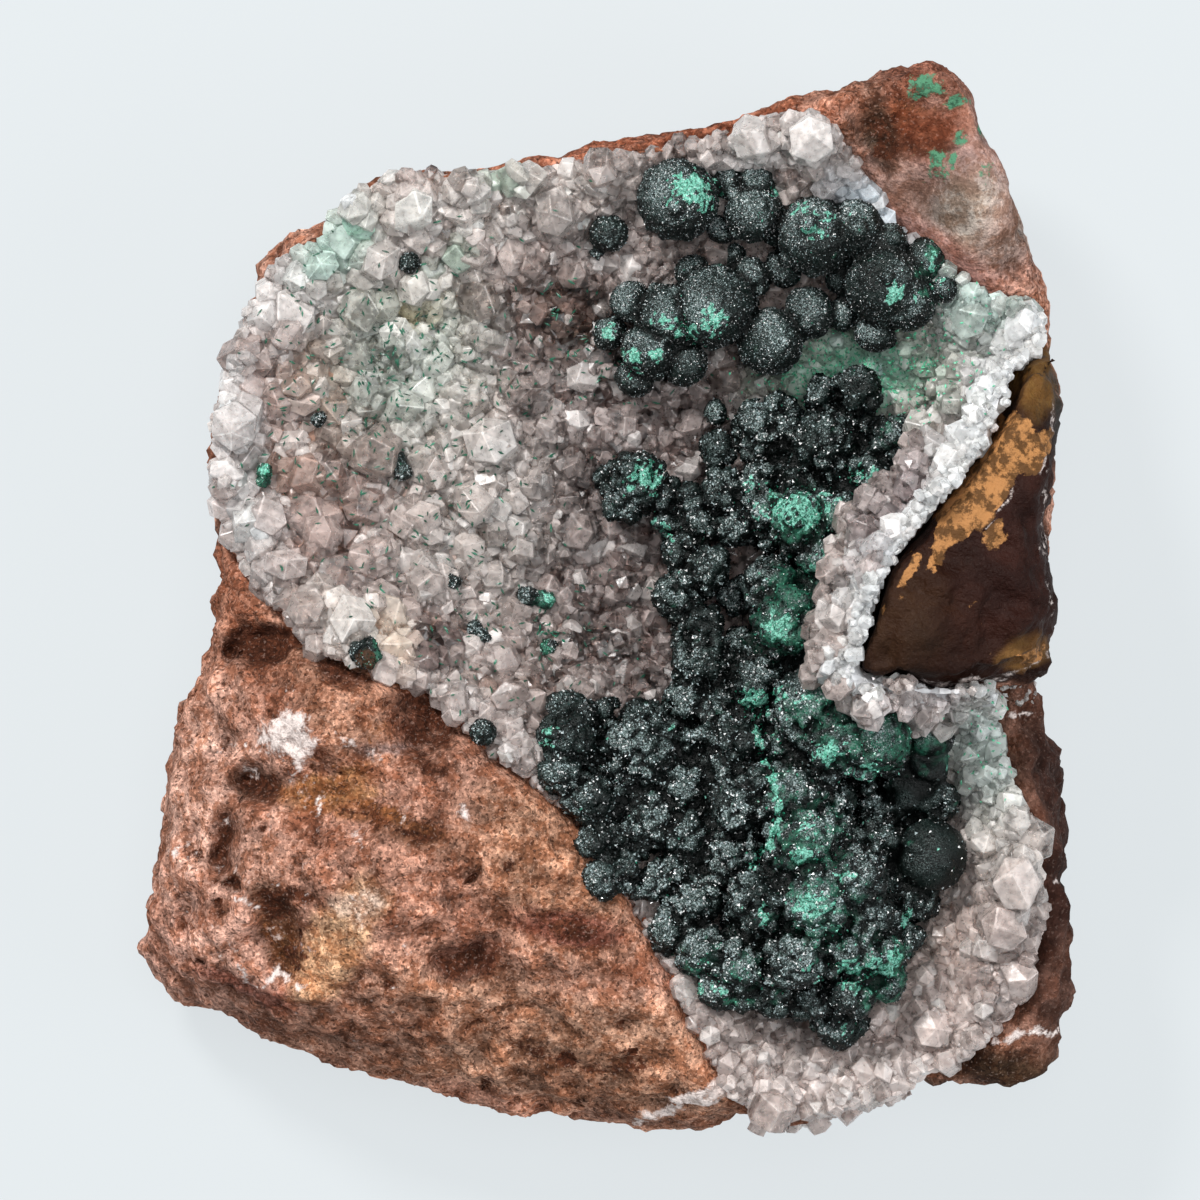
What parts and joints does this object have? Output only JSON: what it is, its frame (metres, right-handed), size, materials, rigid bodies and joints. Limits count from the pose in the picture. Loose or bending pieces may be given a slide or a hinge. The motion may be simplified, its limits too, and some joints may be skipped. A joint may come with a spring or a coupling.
{
  "type": "malachite on quartz mineral specimen",
  "caption": "Loose hand specimen lying on its back: a slab of host rock whose open hollow is lined with pointed quartz and botryoidal malachite.",
  "frame": {"origin": "centre of the footprint on the surface that the specimen lies on", "axes": "+Z out of the display face, +Y to the face's top, +X to its right"},
  "size_m": [0.0946, 0.1082, 0.046],
  "materials": {
    "host_rock": "matte",
    "quartz": "gloss",
    "malachite": "satin"
  },
  "bodies": {
    "root": {"matrix_rock": "host_rock", "quartz_crust": "quartz", "malachite_upper_cluster": "malachite", "malachite_main_mass": "malachite", "malachite_upper_left_ball": "malachite", "malachite_bead_on_the_rim": "malachite", "malachite_bead_in_the_field": "malachite", "malachite_double_bead": "malachite", "malachite_bright_bead": "malachite", "malachite_bead_by_the_dish": "malachite", "malachite_bright_pair": "malachite", "malachite_long_bead": "malachite", "malachite_low_bead": "malachite", "malachite_bead_on_the_edge": "malachite", "malachite_brown_green_knob": "malachite", "malachite_bead_by_the_band": "malachite"}
  },
  "joints": []
}
